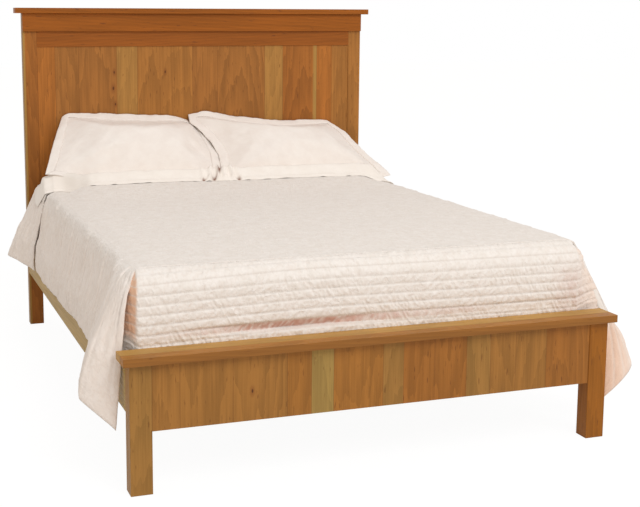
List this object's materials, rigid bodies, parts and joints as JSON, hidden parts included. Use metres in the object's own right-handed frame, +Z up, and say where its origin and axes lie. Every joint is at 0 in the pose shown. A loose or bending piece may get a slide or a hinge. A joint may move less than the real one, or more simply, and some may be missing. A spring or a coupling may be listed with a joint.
{
  "type": "bed",
  "caption": "Wooden bed with a tall board headboard under an overhanging cap, a low footboard, slatted base, mattress, quilted coverlet and pillows.",
  "frame": {"origin": "on the floor under the middle of the bed's bounding box", "axes": "+Z up, +Y from the footboard to the headboard, +X to the right of someone facing the bed from its foot"},
  "size_m": [1.9054, 2.198, 1.45],
  "materials": {
    "cherry_frame": "oiled cherry, satin",
    "cherry_board": "oiled cherry, satin, mid tone",
    "cherry_dark_board": "oiled cherry heartwood, satin",
    "cherry_light_board": "oiled cherry sapwood, satin",
    "poplar": "planed, unfinished",
    "black_steel": "black oxide",
    "zinc_steel": "zinc plated",
    "black_nylon": "moulded",
    "mattress_ticking": "woven ticking",
    "foundation_cloth": "woven cloth",
    "quilted_cotton": "quilted cotton, cream",
    "sheet_cotton": "plain cotton, off white",
    "pillow_cotton": "plain cotton, warm cream"
  },
  "bodies": {
    "frame": {"centre_beam": "poplar", "centre_legs": "poplar", "coverlet_drop_foot": "quilted_cotton", "coverlet_drop_left": "quilted_cotton", "coverlet_drop_right": "quilted_cotton", "coverlet_top": "quilted_cotton", "footboard_batten": "cherry_frame", "footboard_board_01": "cherry_board", "footboard_board_02": "cherry_board", "footboard_board_03": "cherry_board", "footboard_board_04": "cherry_board", "footboard_board_05": "cherry_light_board", "footboard_board_06": "cherry_board", "footboard_board_07": "cherry_light_board", "footboard_board_08": "cherry_board", "footboard_board_09": "cherry_board", "footboard_board_10": "cherry_board", "footboard_board_11": "cherry_board", "footboard_board_12": "cherry_board", "footboard_board_13": "cherry_board", "footboard_cap_front": "cherry_frame", "footboard_cap_rear": "cherry_frame", "footboard_leg_left": "cherry_frame", "footboard_leg_right": "cherry_frame", "foundation": "foundation_cloth", "headboard_board_01": "cherry_board", "headboard_board_02": "cherry_dark_board", "headboard_board_03": "cherry_board", "headboard_board_04": "cherry_light_board", "headboard_board_05": "cherry_board", "headboard_board_06": "cherry_board", "headboard_board_07": "cherry_dark_board", "headboard_board_08": "cherry_dark_board", "headboard_board_09": "cherry_light_board", "headboard_board_10": "cherry_dark_board", "headboard_board_11": "cherry_board", "headboard_board_12": "cherry_board", "headboard_cap": "cherry_frame", "headboard_fascia": "cherry_frame", "headboard_lower_rail": "cherry_frame", "headboard_post_left": "cherry_frame", "headboard_post_right": "cherry_frame", "headboard_upper_rail": "cherry_frame", "ledger_screws": "zinc_steel", "mattress": "mattress_ticking", "plate_screws": "zinc_steel", "post_slot_plates": "black_steel", "rail_hook_plates": "black_steel", "side_rail_left": "cherry_frame", "side_rail_right": "cherry_frame", "slat_ledger_left": "poplar", "slat_ledger_right": "poplar", "slat_screws": "zinc_steel", "slats": "poplar", "top_sheet": "sheet_cotton"},
    "pillow_left": {"pillow_left": "pillow_cotton"},
    "pillow_right": {"pillow_right": "pillow_cotton"},
    "levelling_foot_front": {"levelling_foot_front": "black_nylon"},
    "levelling_foot_rear": {"levelling_foot_rear": "black_nylon"}
  },
  "joints": [
    {"name": "pillow_left_lift", "type": "slide", "parent": "frame", "child": "pillow_left", "axis": [0, -0.5, 0.866], "range_m": [0, 0.4]},
    {"name": "pillow_right_lift", "type": "slide", "parent": "frame", "child": "pillow_right", "axis": [0, -0.5, 0.866], "range_m": [0, 0.4]},
    {"name": "levelling_foot_front_screw", "type": "slide", "parent": "frame", "child": "levelling_foot_front", "axis": [0, 0, 1], "range_m": [-0.015, 0]},
    {"name": "levelling_foot_rear_screw", "type": "slide", "parent": "frame", "child": "levelling_foot_rear", "axis": [0, 0, 1], "range_m": [-0.015, 0]}
  ]
}
